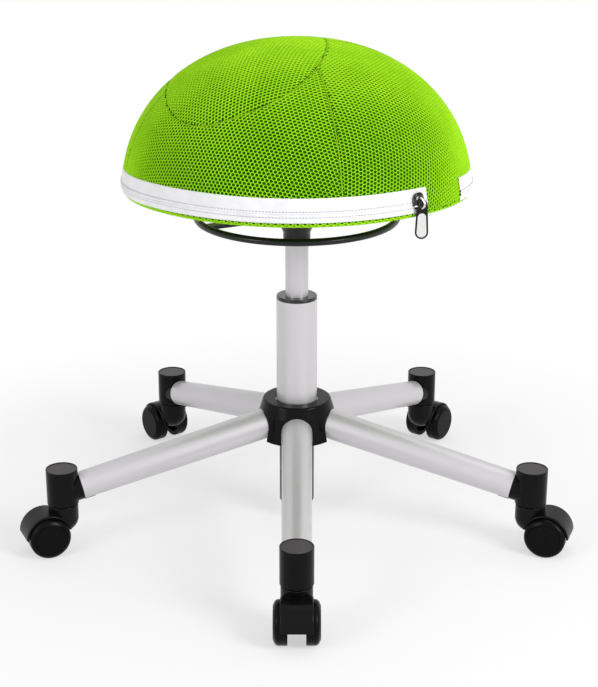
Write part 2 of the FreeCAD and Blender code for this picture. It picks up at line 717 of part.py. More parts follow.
pivot = solid("Cylinder", Radius="Size.lever_pin_radius", Height="Size.lever_pin_length")
place(pivot,
      "Size.lever_offset * cos({0}) + Size.lever_pin_length / 2 * sin({0})".format(BAR_DIRECTION),
      "Size.lever_offset * sin({0}) - Size.lever_pin_length / 2 * cos({0})".format(BAR_DIRECTION),
      RING_HEIGHT, Rotation(Z_AXIS, BAR_DIRECTION) * ALONG_Y)
node(pivot, "lever_pivot")


# Seat plate, board and bolts

def at_bolts(radius, bottom, top):
    """Four upright cylinders at the bolts' places."""
    pegs = []
    for side in ("-", ""):
        for end in ("-", ""):
            peg = solid("Cylinder", Radius=radius, Height="%s - %s" % (top, bottom))
            pegs.append(place(peg, side + "Size.bolt_spacing / 2", end + "Size.bolt_spacing / 2",
                              bottom))
    return fused(*pegs)


BOLT_HOLE = "(Size.bolt_radius + Size.fixed_fit)"
HEAD_BOTTOM = "(%s - Size.bolt_head)" % PLATE_BOTTOM

plate, slab = block("Size.plate_side", "Size.plate_side", "Size.plate_thickness")
rounded(plate, slab, "Size.plate_corner", runs_along(Z_AXIS))
place(plate, "-Size.plate_side / 2", "-Size.plate_side / 2", PLATE_BOTTOM)
node(cut(plate, at_bolts(BOLT_HOLE, HEAD_BOTTOM, BOLT_TIP)), "seat_plate")

node(fused(at_bolts("Size.bolt_head_radius", HEAD_BOTTOM, PLATE_BOTTOM),
           at_bolts("Size.bolt_radius", PLATE_BOTTOM, BOLT_TIP)), "plate_screws")

board = turned([("0", BOARD_BOTTOM), (BOARD_RADIUS, BOARD_BOTTOM), (BOARD_RADIUS, BALL_BOTTOM),
                ("0", BALL_BOTTOM)],
               (INNER_ROUND, BOARD_RADIUS, BOARD_BOTTOM),
               ("Size.board_edge", BOARD_RADIUS, BALL_BOTTOM))
valve_hole = solid("Cylinder", Radius="Size.valve_hole_radius", Height="3 * Size.board_thickness")
place(valve_hole, y="Size.valve_offset", z=BOARD_BOTTOM + " - Size.board_thickness")
node(cut(board, valve_hole, at_bolts(BOLT_HOLE, HEAD_BOTTOM, BOLT_TIP)), "seat_board")

tray = turned([("0", "Size.cover_base"), (RIM_RADIUS, "Size.cover_base"),
               (RIM_RADIUS, "Size.zip_bottom"), (RIM_BORE, "Size.zip_bottom"),
               (RIM_BORE, BOARD_BOTTOM), ("0", BOARD_BOTTOM)],
              ("Size.rim_corner", RIM_RADIUS, "Size.cover_base"),
              (INNER_ROUND, RIM_BORE, BOARD_BOTTOM))
node(cut(tray, at_bolts(BOLT_HOLE, HEAD_BOTTOM, BOLT_TIP)), "cover_bottom")


# Half ball, cover and zip. The dome is a curve with powers, which no primitive or sketch holds.

def dome_point(angle, inset):
    """The radius and height on the dome, moved inwards along its normal."""
    cosine, sine = math.cos(angle), math.sin(angle)
    radius, rise = value("Size.dome_radius"), value("Size.dome_rise")
    across = radius * cosine ** SHOULDER_POWER
    up = value("Size.dome_base") + rise * sine ** CROWN_POWER
    if cosine < SAME_PLACE:
        return 0.0, up - inset
    along_r = -radius * SHOULDER_POWER * cosine ** (SHOULDER_POWER - 1) * sine
    along_z = rise * CROWN_POWER * sine ** (CROWN_POWER - 1) * cosine
    length = math.hypot(along_r, along_z)
    return across - inset * along_z / length, up + inset * along_r / length


def dome_angle(height, inset):
    """The angle on the dome where the inset curve has this height."""
    low, high = SAME_PLACE, math.pi / 2
    for step in range(60):
        middle = (low + high) / 2
        if dome_point(middle, inset)[1] < height:
            low = middle
        else:
            high = middle
    return low


def dome_solid(inset, bottom, corner=0.0):
    """The dome's whole inside, this far in from the cover's outside, with a rounded foot."""
    start = dome_angle(bottom + corner, inset)
    angles = [start + (math.pi / 2 - start) * i / DOME_STEPS for i in range(DOME_STEPS + 1)]
    points = [Vector(r, 0, z) for r, z in (dome_point(angle, inset) for angle in angles)]
    curve = Part.BSplineCurve()
    curve.interpolate(Points=points, FinalTangent=Vector(-1, 0, 0),
                      InitialTangent=points[1] - points[0])
    edges = [curve.toShape()]
    foot = points[0]
    if corner:
        heel = Vector(foot.x - corner, 0, bottom)
        centre = Vector(foot.x - corner, 0, bottom + corner)
        bend = centre + Vector(math.sqrt(0.5), 0, -math.sqrt(0.5)) * corner
        edges.append(Part.Arc(foot, bend, heel).toShape())
        foot = heel
    floor = Vector(0, 0, bottom)
    edges.append(Part.makeLine(foot, floor))
    edges.append(Part.makeLine(floor, points[-1]))
    section = Part.Face(Part.Wire(Part.__sortEdges__(edges)))
    item = doc.addObject("Part::Feature", "Dome")
    item.Shape = section.revolve(ORIGIN, Z_AXIS, 360)
    return item


def zip_band():
    """The space that the zip tape takes, from its start round to its end."""
    band = solid("Cylinder", Radius="2 * Size.dome_radius", Height="Size.zip_top - Size.zip_bottom")
    band.Angle = ZIP_TURN
    return place(band, z="Size.zip_bottom", turn=Rotation(Z_AXIS, ZIP_START))


rim = value("Size.zip_bottom")
base = value("Size.dome_base")
thickness = value("Size.cover_thickness")
recess = value("Size.tape_recess")
skin = cut(dome_solid(0.0, rim), dome_solid(thickness, base))
node(cut(skin, zip_band()), "cover_top")
tape = cut(dome_solid(recess, rim), dome_solid(thickness, base))
node(common(tape, zip_band()), "zipper_tape")

ball_inset = value(BALL_INSET)
ball_wall = value("Size.ball_wall")
ball_corner = value("Size.ball_corner")
ball = dome_solid(ball_inset, value(BALL_BOTTOM), ball_corner)
air = dome_solid(ball_inset + ball_wall, value(BALL_FLOOR), ball_corner - ball_wall)
valve_bore = solid("Cylinder", Radius="Size.valve_radius + Size.fixed_fit",
                   Height="4 * Size.ball_wall")
place(valve_bore, y="Size.valve_offset", z=BALL_BOTTOM + " - 2 * Size.ball_wall")
node(cut(ball, air, valve_bore), "half_ball")

PLUG_BOTTOM = "(%s - Size.valve_flange)" % BALL_BOTTOM
PLUG_TOP = "(%s + Size.valve_tip)" % BALL_FLOOR
plug = turned([("0", PLUG_BOTTOM), ("Size.valve_flange_radius", PLUG_BOTTOM),
               ("Size.valve_flange_radius", BALL_BOTTOM), ("Size.valve_radius", BALL_BOTTOM),
               ("Size.valve_radius", PLUG_TOP), ("0", PLUG_TOP)])
node(place(plug, y="Size.valve_offset"), "air_plug")


# Zip slider and puller, made facing +X

def pointing_out(radius, start, length, height=POST_HEIGHT):
    """A round peg along +X."""
    peg = solid("Cylinder", Radius=radius, Height=length)
    return place(peg, start, z=height, turn=ALONG_X)


def make_slider():
    """The slider's body, hollowed to the tape's curve, with the puller's post and its crown."""
    body, box = block("Size.slider_depth", "Size.slider_width", "Size.slider_height")
    corners = rounded(body, box, "Size.slider_corner", runs_along(X_AXIS))
    depth = value("Size.slider_depth")
    rounded(body, corners, "Size.slider_edge",
            lambda edge: all(abs(vertex.X - depth) < SAME_PLACE for vertex in edge.Vertexes))
    place(body, SLIDER_REACH + " - Size.slider_depth", "-Size.slider_width / 2",
          SLIDER_BOTTOM)
    hollow = dome_solid(recess - value("Size.slider_gap"), base)
    post_start = SLIDER_REACH + " - Size.slider_edge"
    crown_start = "(%s + 2 * Size.puller_standoff)" % SLIDER_REACH
    post = pointing_out("Size.post_radius", post_start, "%s - (%s)" % (crown_start, post_start))
    crown = pointing_out("Size.crown_radius", crown_start, "Size.crown_thickness")
    return aim(fused(cut(body, hollow), post, crown), SLIDER_DIRECTION)


def puller_face(shrink, start):
    """The puller's outline as a plate: narrow at the post, wide and round at the free end."""
    top = "(Size.puller_top_radius - (%s))" % shrink
    end = "(Size.puller_end_radius - (%s))" % shrink
    end_height = "(%s - Size.puller_drop)" % POST_HEIGHT
    web = extruded([("-" + top, POST_HEIGHT), ("-" + end, end_height), (end, end_height),
                    (top, POST_HEIGHT)], "YZ_Plane", "Size.puller_thickness")
    place(web, start)
    return fused(web, pointing_out(top, start, "Size.puller_thickness"),
                 pointing_out(end, start, "Size.puller_thickness", end_height))


def make_puller():
    """The tab that hangs on the slider's post, turned a little: a flat face in a thin raised frame."""
    plate = puller_face("0", "-Size.puller_thickness / 2")
    face = puller_face("Size.puller_frame", "Size.puller_thickness / 2 - Size.puller_recess")
    tab = place(cut(plate, face), SLIDER_REACH + " + Size.puller_standoff",
                turn=Rotation(Z_AXIS, PULLER_TWIST))
    bore = pointing_out("Size.post_radius + Size.running_fit", SLIDER_REACH,
                        "2 * Size.puller_standoff")
    return aim(cut(tab, bore), SLIDER_DIRECTION)


node(make_slider(), "zipper_slider")
node(make_puller(), "zipper_puller")


doc.recompute()
for item in doc.Objects:
    if "Invalid" in item.State or "Error" in item.State:
        raise RuntimeError("%s (%s) did not compute: %s" % (item.Name, item.Label, item.State))

os.makedirs("parts", exist_ok=True)
for item in sub_parts:
    if item.Shape.isNull() or not item.Shape.isValid():
        raise RuntimeError("%s has no valid shape" % item.Label)
    item.Shape.exportStep("parts/%s.step" % item.Label)
print("%d sub-parts" % len(sub_parts))
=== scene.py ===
"""The wobble stool's looks: mesh cover, zip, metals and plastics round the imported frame."""

import math

import bpy
import numpy as np
from mathutils import Euler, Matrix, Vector


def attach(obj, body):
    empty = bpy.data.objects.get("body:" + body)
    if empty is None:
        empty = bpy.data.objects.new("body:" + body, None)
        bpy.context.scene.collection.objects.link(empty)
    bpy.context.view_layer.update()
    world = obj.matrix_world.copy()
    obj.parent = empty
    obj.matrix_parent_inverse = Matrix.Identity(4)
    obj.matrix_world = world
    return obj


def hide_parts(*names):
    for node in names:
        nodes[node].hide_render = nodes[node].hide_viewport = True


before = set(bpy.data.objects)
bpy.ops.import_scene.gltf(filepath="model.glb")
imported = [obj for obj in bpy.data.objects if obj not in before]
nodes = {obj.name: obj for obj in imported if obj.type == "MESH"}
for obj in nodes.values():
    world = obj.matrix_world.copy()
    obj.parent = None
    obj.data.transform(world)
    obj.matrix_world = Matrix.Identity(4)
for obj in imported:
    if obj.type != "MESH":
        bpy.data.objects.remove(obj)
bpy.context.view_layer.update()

# Real sizes in metres, as in the part's source, apart from the tape's turn, which is a little longer
DOME_RADIUS = 0.2064
DOME_BASE = 0.430
DOME_RISE = 0.1737
SHOULDER_POWER = 0.914
CROWN_POWER = 0.985
COVER_BASE = 0.434
RIM_CORNER = 0.0055
RIM_INSET = 0.0003
TAPE_BOTTOM = 0.440
TAPE_TOP = 0.4665
TAPE_START = math.radians(-26.7)
TAPE_TURN = math.radians(341)
SLIDER_AZIMUTH = math.radians(-50.3)
SLIDER_REACH = 0.208
SLIDER_RISE = 0.003
POST_HEIGHT = 0.4497
PULLER_STANDOFF = 0.0053
PULLER_TWIST = math.radians(-35)

# The cover is pulled down at the stool's sides, and takes the tape with it.
TAPE_SAG = 0.0085
RIM_SAG = 0.0055
SAG_POWER = 6
TURN_UNDER = 0.018

# Mesh fabric
CELL_PITCH = 0.0046
HOLE_SHARE = 0.75
LIP_SHARE = 0.87
LIP_DEPTH = 0.0004
HOLE_DEPTH = 0.0017
BACKING_DEPTH = 0.0020
SEAM_DEPTH = 0.0006
SEAM_WIDTH = 0.0036
THREAD_RADIUS = 0.0008
THREAD_START = -125
THREAD_END = 150
CORD_END_SHARE = 0.3
SMALLEST_CELL = 0.12
MEAN_RADIUS = 0.197

# The zip's band: places and widths in shares of its height, and lengths in metres
RIDGE_LOW = 0.21
RIDGE_HIGH = 0.48
RIDGE_SHOULDER = 0.05
RIDGE_LIFT = 0.0012
GROOVE_PLACE = 0.345
GROOVE_WIDTH = 0.022
GROOVE_DEPTH = 0.0009
EDGE_WIDTH = 0.03
EDGE_DROP = 0.0006
STITCH_LINES = (0.23, 0.46)
STITCH_HALF_WIDTH = 0.014
STITCH_GAP = 0.42
STITCHES_PER_METRE = 280
COIL_TURNS_PER_METRE = 650
TAPE_LIFT = 0.0007
TAPE_TUCK = 0.001
TAPE_COLUMNS = 700
END_LAP = math.radians(2)
END_TUCK = 0.0008
END_PULL = 0.6

# The oval panel over the crown, in plan
OVAL_CENTRE = (-0.0575, -0.020)
OVAL_HALF_WIDTH = 0.0925
OVAL_HALF_LENGTH = 0.1275
OVAL_TURN = math.radians(-1.5)
OVAL_POWER = 2.35

# Seams that run from the oval down to the zip, and the lean of the mesh between them
GORE_SEAMS = [math.radians(d) for d in (-76, 14, 104, 194)]
GORE_LEANS = [math.radians(d) for d in (9, -14, 20, 2)]
GORE_MIDDLE = math.radians(38)
OVAL_LEAN = math.radians(24)


def turn_to(angle, low):
    """The same angle, from low up to one turn above it."""
    return (angle - low) % (2 * math.pi) + low


# The cover's surface

def dome(latitude, azimuth, inset=0.0):
    """Points on the dome, this deep under its surface, and the way out of it."""
    latitude = np.clip(latitude, 1e-3, math.pi / 2 - 1e-4)
    c, s = np.cos(latitude), np.sin(latitude)
    across = DOME_RADIUS * c ** SHOULDER_POWER
    up = DOME_BASE + DOME_RISE * s ** CROWN_POWER
    slope_r = -DOME_RADIUS * SHOULDER_POWER * c ** (SHOULDER_POWER - 1) * s
    slope_z = DOME_RISE * CROWN_POWER * s ** (CROWN_POWER - 1) * c
    length = np.hypot(slope_r, slope_z)
    out_r, out_z = slope_z / length, -slope_r / length
    x, y = np.cos(azimuth), np.sin(azimuth)
    out = np.stack([out_r * x, out_r * y, out_z + 0 * x], axis=-1)
    point = np.stack([across * x, across * y, up + 0 * x], axis=-1)
    return point - out * np.asarray(inset)[..., None], out


def latitude_at_height(height):
    """The dome's latitude at a height."""
    share = np.clip((np.asarray(height) - DOME_BASE) / DOME_RISE, 0, 1)
    return np.arcsin(share ** (1 / CROWN_POWER))


def latitude_at_radius(radius):
    """The dome's latitude at a distance from the stool's axis."""
    share = np.clip(np.asarray(radius) / DOME_RADIUS, 0, 1)
    return np.arccos(share ** (1 / SHOULDER_POWER))


def sag(azimuth, depth=TAPE_SAG):
    """How far the cover hangs below its level at the front and the back."""
    return depth * np.cos(azimuth) ** SAG_POWER


RIM_ARC = RIM_CORNER * math.pi / 2
RIM_RADIUS = DOME_RADIUS - RIM_INSET


def rim(azimuth, up, lift=0.0):
    """Points on the cover's lower edge: up is along the skin, from where it turns under the seat."""
    azimuth, up = np.broadcast_arrays(azimuth, up)
    theta = np.clip(up / RIM_CORNER, 0, math.pi / 2)
    across = RIM_RADIUS - RIM_CORNER + RIM_CORNER * np.sin(theta) + np.minimum(up, 0)
    level = COVER_BASE - sag(azimuth, RIM_SAG) * np.clip(1 + up / TURN_UNDER, 0, 1)
    height = level + RIM_CORNER * (1 - np.cos(theta)) + np.maximum(up - RIM_ARC, 0)
    out_r, out_z = np.sin(theta), -np.cos(theta)
    high = up > RIM_ARC
    on_dome, way = dome(latitude_at_height(height), np.zeros_like(height))
    across = np.where(high, np.minimum(on_dome[..., 0], RIM_RADIUS), across)
    out_r = np.where(high, way[..., 0], out_r)
    out_z = np.where(high, way[..., 2], out_z)
    across = across + out_r * lift
    height = height + out_z * lift
    return np.stack([across * np.cos(azimuth), across * np.sin(azimuth), height], axis=-1)


def skin_height(height, azimuth):
    """How far up along the skin a height on the cover's side is."""
    return height - COVER_BASE + sag(azimuth, RIM_SAG) - RIM_CORNER + RIM_ARC


# Seams

def oval_share(x, y):
    """How far out in the oval panel a point is: 1 on its seam."""
    dx, dy = x - OVAL_CENTRE[0], y - OVAL_CENTRE[1]
    c, s = math.cos(OVAL_TURN), math.sin(OVAL_TURN)
    across, along = c * dx + s * dy, -s * dx + c * dy
    total = np.abs(across / OVAL_HALF_WIDTH) ** OVAL_POWER + np.abs(along / OVAL_HALF_LENGTH) ** OVAL_POWER
    return np.maximum(total, 1e-9) ** (1 / OVAL_POWER)


def to_oval(latitude, azimuth, inside):
    """Pull points that are on the wrong side of the oval's seam onto it."""
    point, _ = dome(latitude, azimuth)
    share = oval_share(point[..., 0], point[..., 1])
    wrong = share > 1 if inside else share < 1
    scale = np.where(wrong, 1 / share, 1.0)
    x = OVAL_CENTRE[0] + (point[..., 0] - OVAL_CENTRE[0]) * scale
    y = OVAL_CENTRE[1] + (point[..., 1] - OVAL_CENTRE[1]) * scale
    new_latitude = latitude_at_radius(np.hypot(x, y))
    return (np.where(wrong, new_latitude, latitude),
            np.where(wrong, np.arctan2(y, x), azimuth))


def seam_inset(latitude, azimuth):
    """The valley along the seams."""
    point, _ = dome(latitude, azimuth)
    x, y = point[..., 0], point[..., 1]
    share = oval_share(x, y)
    reach = np.hypot(x - OVAL_CENTRE[0], y - OVAL_CENTRE[1])
    away = np.abs(reach - reach / share)
    for seam in GORE_SEAMS:
        angle = (azimuth - seam + math.pi) % (2 * math.pi) - math.pi
        beside = np.hypot(x, y) * np.abs(angle)
        away = np.where(share > 1, np.minimum(away, beside), away)
    return SEAM_DEPTH * np.exp(-((away / SEAM_WIDTH) ** 2))


def under_tape(azimuth):
    """Whether the tape covers this direction, a little in from its ends."""
    around = turn_to(azimuth, TAPE_START - math.pi / 36)
    return (around > TAPE_START + END_LAP) & (around < TAPE_START + TAPE_TURN - END_LAP)


def zip_floor(azimuth):
    """The latitude where the upper mesh goes under the tape, or meets the lower strip between its ends."""
    overlap = 0.0025
    height = np.where(under_tape(azimuth), TAPE_TOP - overlap - sag(azimuth), TAPE_BOTTOM - overlap)
    return latitude_at_height(height)


# Meshes from numbers

def add_object(name, points, faces, material, body="seat", smooth=True):
    """A mesh object that rides on a body of the frame."""
    mesh = bpy.data.meshes.new(name)
    mesh.from_pydata([tuple(p) for p in points], [], [tuple(int(i) for i in f) for f in faces])
    mesh.validate()
    mesh.materials.append(material)
    if smooth:
        mesh.polygons.foreach_set("use_smooth", [True] * len(mesh.polygons))
    made = bpy.data.objects.new(name, mesh)
    bpy.context.scene.collection.objects.link(made)
    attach(made, body)
    return made


def grid_faces(rows, columns, closed=False):
    """Quads of a grid whose points run along its rows."""
    faces = []
    for r in range(rows - 1):
        for c in range(columns if closed else columns - 1):
            d = (c + 1) % columns
            faces.append((r * columns + c, r * columns + d, (r + 1) * columns + d, (r + 1) * columns + c))
    return faces


def hex_lattice(half_width, half_length, pitch):
    """Corners and six-sided cells of a honeycomb in a plane."""
    row = pitch * math.sqrt(3) / 2
    rows = int(half_length / row) + 2
    columns = int(half_width / pitch) + 2
    j, i = np.mgrid[-rows:rows + 1, -columns:columns + 1]
    centres = np.stack([(i + 0.5 * (j % 2)) * pitch, j * row], axis=-1).reshape(-1, 2)
    angles = np.radians(60 * np.arange(6) + 30)
    spokes = np.stack([np.cos(angles), np.sin(angles)], axis=-1) * pitch / math.sqrt(3)
    corners = centres[:, None, :] + spokes[None, :, :]
    keys = np.round(corners.reshape(-1, 2) / (pitch * 0.01)).astype(int)
    _, first, index = np.unique(keys, axis=0, return_index=True, return_inverse=True)
    return corners.reshape(-1, 2)[first], index.reshape(-1, 6), centres


def mesh_cells(name, points, ways, cells, material):
    """Open mesh fabric: a rounded rib round each cell, and the wall of its hole."""
    ring = points[cells]
    way = ways[cells]
    middle = ring.mean(axis=1, keepdims=True)
    spread = np.linalg.norm(ring - middle, axis=2).mean(axis=1)
    kept = spread > SMALLEST_CELL * np.median(spread)
    cells, ring, way, middle = cells[kept], ring[kept], way[kept], middle[kept]
    count = len(cells)
    lip = middle + (ring - middle) * LIP_SHARE - way * LIP_DEPTH
    wall = middle + (ring - middle) * HOLE_SHARE - way * HOLE_DEPTH
    verts = np.concatenate([points, lip.reshape(-1, 3), wall.reshape(-1, 3)])
    first_lip = len(points)
    first_wall = first_lip + count * 6
    own = np.arange(count)[:, None] * 6 + np.arange(6)[None, :]
    following = np.roll(own, -1, axis=1)
    outer = np.stack([cells, np.roll(cells, -1, axis=1), following + first_lip, own + first_lip], axis=-1)
    inner = np.stack([own + first_lip, following + first_lip, following + first_wall,
                      own + first_wall], axis=-1)
    faces = np.concatenate([outer.reshape(-1, 4), inner.reshape(-1, 4)])
    used, index = np.unique(faces, return_inverse=True)
    return add_object(name, verts[used], index.reshape(-1, 4), material)


def tube(name, path, radius, material, body="seat", closed=False, sides=10):
    """A round cord along points, with its ends tapered shut."""
    path = np.asarray(path, float)
    ahead = np.roll(path, -1, axis=0) - np.roll(path, 1, axis=0)
    if not closed:
        ahead[0], ahead[-1] = path[1] - path[0], path[-1] - path[-2]
    ahead /= np.linalg.norm(ahead, axis=1, keepdims=True)
    side = np.cross(ahead, (0.0, 0.0, 1.0))
    upright = np.linalg.norm(side, axis=1) < 1e-3
    side[upright] = (1.0, 0.0, 0.0)
    side /= np.linalg.norm(side, axis=1, keepdims=True)
    over = np.cross(side, ahead)
    thick = np.full((len(path), 1, 1), radius)
    if not closed:
        thick[0] = thick[-1] = radius * CORD_END_SHARE
    turn = np.linspace(0, 2 * math.pi, sides, endpoint=False)[None, :, None]
    spokes = side[:, None, :] * np.cos(turn) + over[:, None, :] * np.sin(turn)
    rings = path[:, None, :] + thick * spokes
    faces = grid_faces(len(path), sides, closed=True)
    last = (len(path) - 1) * sides
    if closed:
        faces += [(last + s, last + (s + 1) % sides, (s + 1) % sides, s) for s in range(sides)]
    else:
        faces += [tuple(range(sides - 1, -1, -1)), tuple(range(last, last + sides))]
    return add_object(name, rings.reshape(-1, 3), faces, material, body)


# Materials

class Graph:
    """One material's nodes, with short ways to add and join them."""

    def __init__(self, name, color, roughness, metallic=0.0, **sockets):
        self.material = bpy.data.materials.new(name)
        self.material.use_nodes = True
        self.tree = self.material.node_tree
        self.shader = self.tree.nodes["Principled BSDF"]
        self.shader.inputs["Base Color"].default_value = (*color, 1)
        self.shader.inputs["Roughness"].default_value = roughness
        self.shader.inputs["Metallic"].default_value = metallic
        for key, number in sockets.items():
            self.shader.inputs[key.replace("_", " ")].default_value = number
        self.place = self.add("ShaderNodeTexCoord").outputs["Object"]

    def add(self, kind, **settings):
        node = self.tree.nodes.new(kind)
        for key, setting in settings.items():
            setattr(node, key, setting)
        return node

    def join(self, source, target):
        self.tree.links.new(source, target)

    def stretched(self, scale):
        """The object's own coordinates, scaled apart along each axis."""
        mapping = self.add("ShaderNodeMapping")
        mapping.inputs["Scale"].default_value = scale
        self.join(self.place, mapping.inputs["Vector"])
        return mapping.outputs["Vector"]

    def noise(self, scale, detail=2.0, stretch=None):
        texture = self.add("ShaderNodeTexNoise")
        texture.inputs["Scale"].default_value = scale
        texture.inputs["Detail"].default_value = detail
        self.join(self.stretched(stretch) if stretch else self.place, texture.inputs["Vector"])
        return texture.outputs["Fac"]

    def ramp(self, factor, low, high, start=0.35, end=0.65):
        """Two numbers or two colours, mixed by a factor."""
        mix = self.add("ShaderNodeValToRGB")
        stops = mix.color_ramp.elements
        for stop, place, shade in ((stops[0], start, low), (stops[1], end, high)):
            stop.position = place
            stop.color = (*shade, 1) if isinstance(shade, tuple) else (shade, shade, shade, 1)
        self.join(factor, mix.inputs["Fac"])
        return mix.outputs["Color"]

    def calc(self, operation, *terms):
        """A sum on sockets and numbers."""
        node = self.add("ShaderNodeMath", operation=operation)
        for socket, term in zip(node.inputs, terms):
            if isinstance(term, (int, float)):
                socket.default_value = term
            else:
                self.join(term, socket)
        return node.outputs[0]

    def flat(self):
        """The UV map's two numbers."""
        parts = self.add("ShaderNodeSeparateXYZ")
        self.join(self.add("ShaderNodeTexCoord").outputs["UV"], parts.inputs[0])
        return parts.outputs[0], parts.outputs[1]

    def blend(self, factor, low, high):
        """A colour socket, turned into a plain colour where the factor is 1."""
        mix = self.add("ShaderNodeMix", data_type="RGBA")
        self.join(factor, mix.inputs["Factor"])
        self.join(low, mix.inputs[6])
        mix.inputs[7].default_value = (*high, 1)
        return mix.outputs[2]

    def colours(self, factor, low, high, **span):
        self.join(self.ramp(factor, low, high, **span), self.shader.inputs["Base Color"])

    def gloss(self, factor, low, high, **span):
        self.join(self.ramp(factor, low, high, **span), self.shader.inputs["Roughness"])

    def relief(self, height, distance, strength=1.0):
        """Fine relief. Further calls add to it."""
        bump = self.add("ShaderNodeBump")
        bump.inputs["Distance"].default_value = distance
        bump.inputs["Strength"].default_value = strength
        self.join(height, bump.inputs["Height"])
        before = self.shader.inputs["Normal"]
        if before.is_linked:
            self.join(before.links[0].from_socket, bump.inputs["Normal"])
        self.join(bump.outputs["Normal"], before)


def make_lime(name, share=1.0):
    """The mesh's yarn, or the same yarn this much darker as a painted-shade copy."""
    low, high = [[c * share for c in shade] for shade in ((0.31, 0.67, 0.004), (0.37, 0.76, 0.008))]
    g = Graph(name, high, 0.6, Sheen_Weight=0.15, Sheen_Roughness=0.35)
    g.shader.inputs["Sheen Tint"].default_value = (0.7, 1.0, 0.1, 1)
    g.shader.inputs["Specular IOR Level"].default_value = 0.15
    g.colours(g.noise(14, 3), tuple(low), tuple(high))
    g.relief(g.noise(2600, 2), 0.00012, 0.6)
    return g.material


def make_backing():
    g = Graph("dark_green_backing", (0.010, 0.10, 0.001), 0.9)
    g.shader.inputs["Specular IOR Level"].default_value = 0.05
    g.colours(g.noise(500, 2), (0.007, 0.075, 0.0005), (0.013, 0.13, 0.001))
    g.relief(g.noise(1400, 2), 0.0004, 0.7)
    return g.material


def make_tape():
    """Woven tape: ribs across the zip's coil and two dashed lines of stitches, painted dark as painted
    shadow, laid out by its UV map.
    """
    g = Graph("white_zip_tape", (0.80, 0.80, 0.82), 0.72, Sheen_Weight=0.1)
    along, up = g.flat()
    shade = g.ramp(g.noise(60, 3), (0.76, 0.76, 0.78), (0.83, 0.83, 0.84))
    step = g.calc("FRACT", g.calc("MULTIPLY", along, STITCHES_PER_METRE))
    dash = g.calc("GREATER_THAN", step, STITCH_GAP)
    lines = g.calc("MAXIMUM", *[g.calc("COMPARE", up, line, STITCH_HALF_WIDTH) for line in STITCH_LINES])
    thread = g.calc("MULTIPLY", lines, dash)
    # The stitch dashes get a dark colour: the painted shadow of white stitches on the white tape.
    g.join(g.blend(thread, shade, (0.30, 0.28, 0.40)), g.shader.inputs["Base Color"])
    ribs = g.calc("SINE", g.calc("MULTIPLY", along, COIL_TURNS_PER_METRE * 2 * math.pi))
    coil = g.calc("COMPARE", up, (RIDGE_LOW + RIDGE_HIGH) / 2, (RIDGE_HIGH - RIDGE_LOW) / 2)
    g.relief(g.calc("MULTIPLY", ribs, coil), 0.00015, 0.6)
    weave = g.add("ShaderNodeTexWave", wave_type="BANDS", bands_direction="Z")
    weave.inputs["Scale"].default_value = 420
    weave.inputs["Distortion"].default_value = 1.2
    g.join(g.place, weave.inputs["Vector"])
    g.relief(weave.outputs["Fac"], 0.0001, 0.5)
    g.relief(g.noise(2200, 2), 0.00008, 0.5)
    return g.material


def make_silver():
    g = Graph("silver_paint", (0.58, 0.56, 0.585), 0.34, 0.35, Coat_Weight=0.15, Coat_Roughness=0.2)
    g.colours(g.noise(2200, 1), (0.56, 0.54, 0.565), (0.60, 0.58, 0.605))
    g.gloss(g.noise(40, 3), 0.31, 0.37)
    return g.material


def make_plastic(name, shade, roughness, grain=0.00003, specular=0.2, top=None):
    """Black plastic. Where top is given, level faces that look up are painted this lighter colour, a
    painted reflection of the light from above.
    """
    g = Graph(name, (shade, shade * 1.05, shade * 0.95), roughness)
    # Painted reflection: faces that look up get the lighter top colour.
    if top:
        parts = g.add("ShaderNodeSeparateXYZ")
        g.join(g.add("ShaderNodeTexCoord").outputs["Normal"], parts.inputs[0])
        g.colours(g.calc("GREATER_THAN", parts.outputs[2], 0.95), (shade, shade * 1.05, shade * 0.95), top)
    g.shader.inputs["Specular IOR Level"].default_value = specular
    g.gloss(g.noise(90, 3), roughness - 0.05, roughness + 0.06)
    g.relief(g.noise(1900, 2), grain, 0.6)
    return g.material


def make_metal(name, color, roughness, stretch=(1, 1, 1), scale=900):
    g = Graph(name, color, roughness, 1.0)
    marks = g.noise(scale, 3, stretch)
    g.gloss(marks, max(roughness - 0.05, 0.02), roughness + 0.08)
    g.relief(marks, 0.00001, 0.4)
    return g.material


def make_black_paint():
    g = Graph("black_satin_paint", (0.006, 0.006, 0.006), 0.32, Coat_Weight=0.1, Coat_Roughness=0.15)
    g.shader.inputs["Specular IOR Level"].default_value = 0.25
    g.gloss(g.noise(70, 3), 0.28, 0.38)
    g.relief(g.noise(1200, 2), 0.00003, 0.5)
    return g.material


def make_rubber():
    g = Graph("ball_rubber", (0.12, 0.12, 0.12), 0.6)
    g.relief(g.noise(600, 2), 0.0001, 0.4)
    return g.material


def make_wood():
    g = Graph("plywood", (0.50, 0.36, 0.20), 0.6)
    g.colours(g.noise(30, 5, (0.12, 1, 6)), (0.40, 0.27, 0.14), (0.58, 0.43, 0.26))
    return g.material


lime = make_lime("lime_mesh_fabric")
# The seam thread uses the lime darkened to 0.62: painted shade along the seams.
painted_shade_lime = make_lime("lime_seam_thread", 0.62)
backing = make_backing()
tape_fabric = make_tape()
silver = make_silver()
black_plastic = make_plastic("black_plastic", 0.003, 0.20, 0.00001, 0.10)
